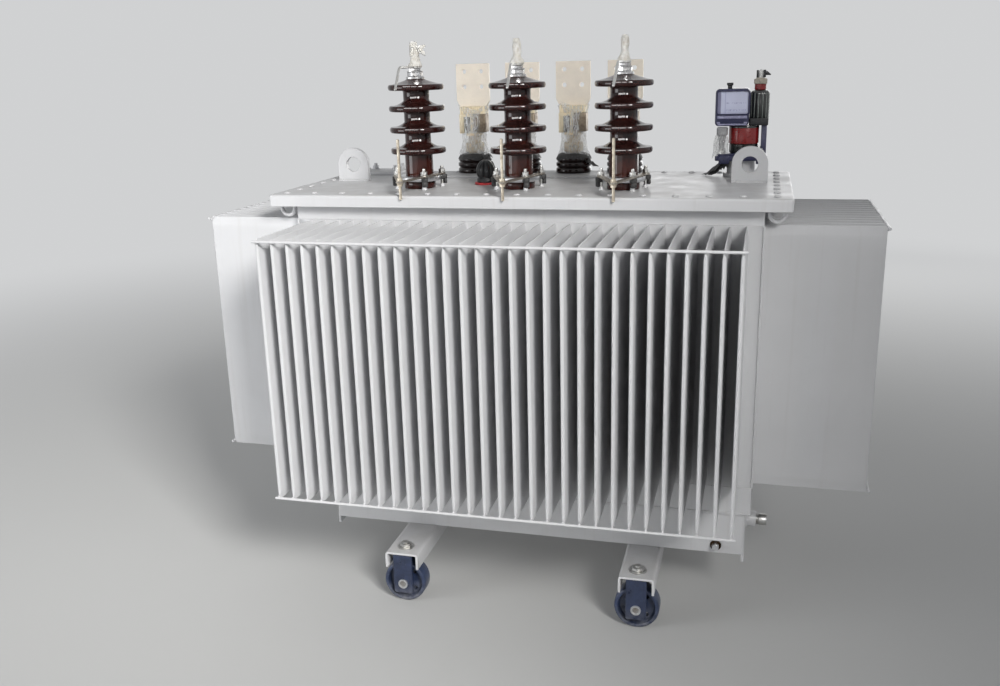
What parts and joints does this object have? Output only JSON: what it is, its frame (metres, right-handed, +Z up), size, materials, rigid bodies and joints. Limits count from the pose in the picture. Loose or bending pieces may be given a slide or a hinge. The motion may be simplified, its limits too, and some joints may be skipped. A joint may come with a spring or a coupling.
{
  "type": "power transformer",
  "caption": "Oil-filled distribution transformer with folded cooling fins, brown porcelain bushings with spark gaps, palm terminals and swivel-fork rollers.",
  "frame": {"origin": "centre of the outer box on the ground", "axes": "+X along the long side, to the right seen from the high-voltage side; +Y from the high-voltage side to the low-voltage side; +Z up"},
  "size_m": [1.9, 1.245, 1.5663],
  "materials": {
    "grey_paint": "light grey satin paint",
    "porcelain": "dark brown glazed porcelain",
    "navy_paint": "dark blue satin paint",
    "aluminium": "bright cast aluminium",
    "tinned_brass": "dull tin plate over brass",
    "taped_stud": "off-white tape over a brass stud",
    "zinc_steel": "yellowish zinc plate",
    "black_plastic": "black moulded plastic",
    "relay_housing": "dark blue and clear plastic"
  },
  "bodies": {
    "body": {"base_frame": "grey_paint", "blank_flange": "grey_paint", "cover": "grey_paint", "drain_valve": "grey_paint", "earth_stud": "zinc_steel", "fin_wall_front": "grey_paint", "fin_wall_left": "grey_paint", "fin_wall_rear": "grey_paint", "fin_wall_right": "grey_paint", "fork_front_left": "navy_paint", "fork_front_right": "navy_paint", "fork_rear_left": "navy_paint", "fork_rear_right": "navy_paint", "hv_clamp_ring_1": "aluminium", "hv_clamp_ring_2": "aluminium", "hv_clamp_ring_3": "aluminium", "hv_insulator_1": "porcelain", "hv_insulator_2": "porcelain", "hv_insulator_3": "porcelain", "hv_terminal_1": "taped_stud", "hv_terminal_2": "taped_stud", "hv_terminal_3": "taped_stud", "lashing_eye_front_left": "grey_paint", "lashing_eye_front_right": "grey_paint", "lashing_eye_rear_left": "grey_paint", "lashing_eye_rear_right": "grey_paint", "lifting_lug_left": "grey_paint", "lifting_lug_right": "grey_paint", "lv_insulator_1": "porcelain", "lv_insulator_2": "porcelain", "lv_insulator_3": "porcelain", "lv_insulator_4": "porcelain", "lv_terminal_1": "tinned_brass", "lv_terminal_2": "tinned_brass", "lv_terminal_3": "tinned_brass", "lv_terminal_4": "tinned_brass", "relay_base": "relay_housing", "relay_head": "relay_housing", "rod_front_high": "grey_paint", "rod_front_low": "grey_paint", "rod_left_high": "grey_paint", "rod_left_low": "grey_paint", "rod_rear_high": "grey_paint", "rod_rear_low": "grey_paint", "rod_right_high": "grey_paint", "rod_right_low": "grey_paint", "skid_left": "grey_paint", "skid_right": "grey_paint", "spark_bracket_1": "zinc_steel", "spark_bracket_2": "zinc_steel", "spark_bracket_3": "zinc_steel", "tank": "grey_paint", "tank_flange": "grey_paint", "tap_changer_cap": "black_plastic", "terminal_plate": "grey_paint"},
    "roller_front_left": {"wheel_front_left": "navy_paint"},
    "roller_front_right": {"wheel_front_right": "navy_paint"},
    "roller_rear_left": {"wheel_rear_left": "navy_paint"},
    "roller_rear_right": {"wheel_rear_right": "navy_paint"}
  },
  "joints": [
    {"name": "roller_spin_front_left", "type": "hinge", "parent": "body", "child": "roller_front_left", "pos_m": [-0.315, -0.427, 0.06197], "axis": [0, 1, 0], "continuous": true},
    {"name": "roller_spin_front_right", "type": "hinge", "parent": "body", "child": "roller_front_right", "pos_m": [0.355, -0.427, 0.06197], "axis": [0, 1, 0], "continuous": true},
    {"name": "roller_spin_rear_left", "type": "hinge", "parent": "body", "child": "roller_rear_left", "pos_m": [-0.315, 0.427, 0.06197], "axis": [0, 1, 0], "continuous": true},
    {"name": "roller_spin_rear_right", "type": "hinge", "parent": "body", "child": "roller_rear_right", "pos_m": [0.355, 0.427, 0.06197], "axis": [0, 1, 0], "continuous": true}
  ]
}
